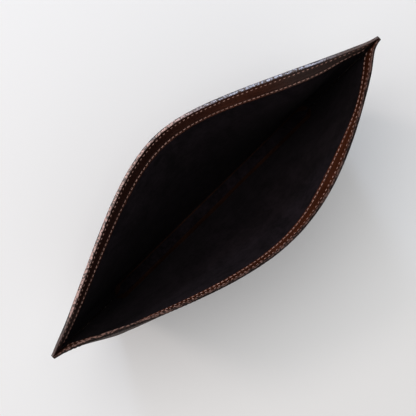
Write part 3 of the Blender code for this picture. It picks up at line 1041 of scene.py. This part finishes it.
SIDE_EDGE_TURN = 20  # steps over the crown
SIDE_EDGE_HEIGHT = 0.00062
SIDE_EDGE_COVER = 0.97  # of the pressed layers' thickness


def make_side_edge(side, q):
    """The painted cut edge down one side: pressed layers show as shallow grooves."""
    outwards = -1 if q == 0 else 1
    lowest = 2 - math.asin(0.5) / (math.pi / 2)
    v = np.linspace(lowest, 3, 420)
    point, _, up, _ = frame_at(np.full_like(v, q), BACK, v)
    away = unit(np.stack([outwards * up[:, 2], 0 * v, -outwards * up[:, 0]], axis=-1))
    drop = drop_of(q, v)
    half = (point[:, 1] - SEAM_Y) * SIDE_EDGE_COVER
    seed = 7.0 + outwards
    lump = 1 + 0.14 * ripple(drop, 0 * drop, 0.011, seed)
    lump = lump + 0.08 * ripple(drop, 0 * drop, 0.004, seed + 1)
    lines = []
    for k in range(SIDE_EDGE_TURN + 1):
        turn = math.pi * k / SIDE_EDGE_TURN
        across = math.cos(turn)
        crown = math.sin(turn) ** 0.55
        groove = sum(0.16 * bell(across - place, 0.08) for place in (-0.45, 0.0, 0.45))
        height = SIDE_EDGE_HEIGHT * lump * max(crown - groove, 0)
        base = np.stack([point[:, 0], SEAM_Y + across * half, point[:, 2]], axis=-1)
        lines.append(base + away * (GAP / 2 + height)[:, None])
    piece = make_edge(f"{side}_side_edge", SIDE_EDGE, lines)
    settle(piece, "edge_paint", f"{side}_edge_paint")


# Each row's stitches: their length, width and lift off the leather.
RIM_STITCH = (0.0016, 0.00062, 0.00018)
FACING_STITCH = (0.0022, 0.00080, 0.00028)
OUTSIDE_STITCH = (0.0028, 0.00066, 0.00014)
SEAM_STITCH = (0.0028, 0.00074, 0.00022)
SLANT = 0.12  # how far a stitch leans across its row, as a slope


def make_stitches(name, places, size, thread, node):
    """One row of single stitches: twisted two-ply threads whose ends dive into the leather.

    places holds arrays of centres, outward directions, directions along the row and
    directions across it.
    """
    centre, out, along, across = places
    length, width, lift = size
    count = len(centre)
    stations, around = 9, 8
    t = np.linspace(-1, 1, stations)
    wave = ripple(np.arange(count) * 1.0, np.zeros(count), 7.3, 2.2)
    half = 0.5 * length * (1 + 0.05 * wave)
    tilt = SLANT + 0.05 * ripple(np.arange(count) * 1.0, np.zeros(count), 5.1, 3.3)
    heading = unit(along + across * tilt[:, None])
    sideways = unit(np.cross(out, heading))
    arch = lift * (1 - 1.7 * np.abs(t) ** 4.0)
    radius = 0.5 * width * (1 - 0.30 * np.abs(t) ** 5)
    line = centre[:, None] + heading[:, None] * (half[:, None] * t[None])[..., None]
    line = line + out[:, None] * arch[None, :, None]
    rings = []
    for k in range(around):
        turn = 2 * math.pi * k / around
        lobe = 1 + 0.13 * np.cos(2 * (turn - 3.4 * t))
        flat = math.cos(turn) * sideways[:, None] + 0.72 * math.sin(turn) * out[:, None]
        rings.append(line + flat * (radius * lobe)[None, :, None])
    points = np.stack(rings, axis=2)
    faces = []
    for s in range(count):
        faces += bar_faces(stations, around, s * stations * around)
    piece = make_piece(name, points, faces, thread, 70.0)
    settle(piece, "thread", node)


def row_places(wall, drop, row_name, depth, relief, sign):
    """Where a row's stitches lie: on the outer leather, or with sign -1 on the facing."""
    q, _ = ROWS[wall["name"], row_name]
    v = row_at(drop)(q)
    point, normal, up, along = frame_at(q, wall, v)
    off = -depth(q, v) + sign * relief(q, wall, v)
    return point + normal * off[:, None], normal * sign, along, up


def make_rows(wall):
    """A wall's stitches: the rim row and the lower row on the facing, the rim row outside."""
    name = wall["name"]
    facing = (facing_inner, facing_relief, -1.0)
    shell = (outer_face, shell_relief, 1.0)
    places = row_places(wall, RIM_ROW, "rim", *facing)
    piece_name, node = f"{name}_rim_stitches_inside", f"{name}_rim_thread_inside"
    make_stitches(piece_name, places, RIM_STITCH, FACING_THREAD, node)
    places = row_places(wall, FACING_ROW, "facing", *facing)
    piece_name, node = f"{name}_facing_stitches", f"{name}_facing_thread"
    make_stitches(piece_name, places, FACING_STITCH, FACING_THREAD, node)
    places = row_places(wall, RIM_ROW, "outside", *shell)
    piece_name, node = f"{name}_rim_stitches_outside", f"{name}_rim_thread_outside"
    make_stitches(piece_name, places, OUTSIDE_STITCH, OUTSIDE_THREAD, node)


def make_seam(side, wall):
    """One side seam's stitches on a wall's outer face, from the corner to the rim row."""
    q = SIDE_SEAM / MOUTH_SPAN
    q = q if side == "left" else 1 - q
    top, bottom = RIM_ROW + STITCH_PITCH, float(wall_length(q))
    count = round((bottom - top) / STITCH_PITCH)
    drop = top + (np.arange(count) + 0.5) * (bottom - top) / count
    columns = np.full(count, q)
    v = row_at(drop)(columns)
    point, normal, up, along = frame_at(columns, wall, v)
    centre = point + normal * shell_relief(columns, wall, v)[:, None]
    piece_name = f"{side}_seam_stitches_{wall['name']}"
    node = f"{side}_seam_thread_{wall['name']}"
    make_stitches(piece_name, (centre, normal, up, along), SEAM_STITCH, OUTSIDE_THREAD, node)


# ---------------- stage, light, camera


FLOOR_REACH, FLOOR_SQUARES = 4.0, 32
FLOOR_GAP = 0.0004  # from the CAD's leather down to the floor


def make_floor():
    """A flat floor that reaches well beyond the picture."""
    steps = np.linspace(-FLOOR_REACH, FLOOR_REACH, FLOOR_SQUARES + 1)
    x, y = np.meshgrid(steps, steps)
    points = np.stack([x, y, 0 * x], axis=-1)
    points[..., 2] = LEATHER_LOW.z - FLOOR_GAP
    floor = make_piece("pale_floor", points, grid_faces(len(steps), len(steps)), floor_material())
    floor.data.flip_normals()


def add_lamp(name, kind, place, power, colour):
    data = bpy.data.lights.new(name, kind)
    data.energy = power
    data.color = colour
    lamp = bpy.data.objects.new(name, data)
    lamp.location = place
    bpy.context.scene.collection.objects.link(lamp)
    return lamp


def area_light(name, place, size, power, colour, target):
    """A round area lamp that faces a target."""
    lamp = add_lamp(name, "AREA", place, power, colour)
    lamp.data.shape = "DISK"
    lamp.data.size = size
    direction = Vector(target) - lamp.location
    lamp.rotation_euler = direction.to_track_quat("-Z", "Y").to_euler()


VIEW_TURN = math.radians(-44.38)  # the picture's right, from +X


def from_picture(right, up):
    """A direction in the picture as x and y in the frame."""
    c, s = math.cos(VIEW_TURN), math.sin(VIEW_TURN)
    return right * c - up * s, right * s + up * c


def lamp_place(right, up, height):
    """A place given in the picture's directions, in metres from the mouth's middle."""
    x, y = from_picture(right, up)
    return x, y, height


def even_light(name, place, radius, power, colour):
    """A soft round lamp that does not weaken with distance, for an evenly lit floor."""
    lamp = add_lamp(name, "POINT", place, power, colour)
    lamp.data.shadow_soft_size = radius
    lamp.data.use_nodes = True
    tree = lamp.data.node_tree
    falloff = tree.nodes.new("ShaderNodeLightFalloff")
    falloff.inputs["Strength"].default_value = 1.0
    tree.links.new(falloff.outputs["Constant"], tree.nodes["Emission"].inputs["Strength"])
    lamp.visible_camera = False


def make_light():
    """A soft key close over the sleeve, and a cool and a warm lamp on the window's side."""
    mouth = (0, 0, LEATHER_HIGH.z)
    even_light("key", lamp_place(-0.060, 0.045, 0.52), 0.10, 12.1, (1.0, 0.985, 0.970))
    area_light("cool_side", lamp_place(-0.38, 0.95, 0.86), 0.22, 2.4, (0.66, 0.79, 1.0), mouth)
    area_light("warm_side", lamp_place(-0.82, 0.30, 1.15), 0.24, 2.4, (1.0, 0.87, 0.82), mouth)


SKY_LOW, SKY_HIGH = 0.66, 0.76  # the world's strength away from and towards the window


def make_world():
    """Soft daylight all round, brighter from the window, cooler to the upper right."""
    world = bpy.data.worlds.new("studio")
    world.use_nodes = True
    tree = world.node_tree
    direction = tree.nodes.new("ShaderNodeTexCoord").outputs["Generated"]

    def towards(right, up, low, high, out_low, out_high):
        facing = tree.nodes.new("ShaderNodeVectorMath")
        facing.operation = "DOT_PRODUCT"
        tree.links.new(direction, facing.inputs[0])
        facing.inputs[1].default_value = Vector(lamp_place(right, up, 0.0)).normalized()
        share = tree.nodes.new("ShaderNodeMapRange")
        share.interpolation_type = "SMOOTHSTEP"
        tree.links.new(facing.outputs["Value"], share.inputs["Value"])
        for index, value in enumerate((low, high, out_low, out_high), 1):
            share.inputs[index].default_value = value
        return share.outputs["Result"]

    tint = tree.nodes.new("ShaderNodeMix")
    tint.data_type = "RGBA"
    tree.links.new(towards(1.0, 0.95, -0.35, 0.55, 0.0, 1.0), tint.inputs["Factor"])
    tint.inputs[6].default_value = (1.0, 0.965, 0.95, 1)
    tint.inputs[7].default_value = (0.92, 0.965, 1.0, 1)
    background = tree.nodes["Background"]
    tree.links.new(tint.outputs[2], background.inputs["Color"])
    window = towards(-1.0, 1.0, -0.10, 0.95, SKY_LOW, SKY_HIGH)
    tree.links.new(window, background.inputs["Strength"])
    bpy.context.scene.world = world


def make_camera():
    """Straight down, a forearm's length above the mouth, turned with the picture."""
    data = bpy.data.cameras.new("camera")
    data.lens = 42.0
    data.clip_start, data.clip_end = 0.01, 50.0
    camera = bpy.data.objects.new("camera", data)
    camera.location = (-0.0089, -0.0022, 0.568)
    camera.rotation_euler = (0, 0, VIEW_TURN)
    bpy.context.scene.collection.objects.link(camera)
    bpy.context.scene.camera = camera
    bpy.context.scene.view_settings.view_transform = "Standard"


make_camera()
make_light()
make_world()
make_floor()
make_shell()
make_lining()
for each_wall in WALLS:
    make_core(each_wall)
    make_facing(each_wall)
    make_rim(each_wall)
    make_rows(each_wall)
for side_name, side_q in (("left", 0.0), ("right", 1.0)):
    make_side_edge(side_name, side_q)
    for each_wall in WALLS:
        make_seam(side_name, each_wall)
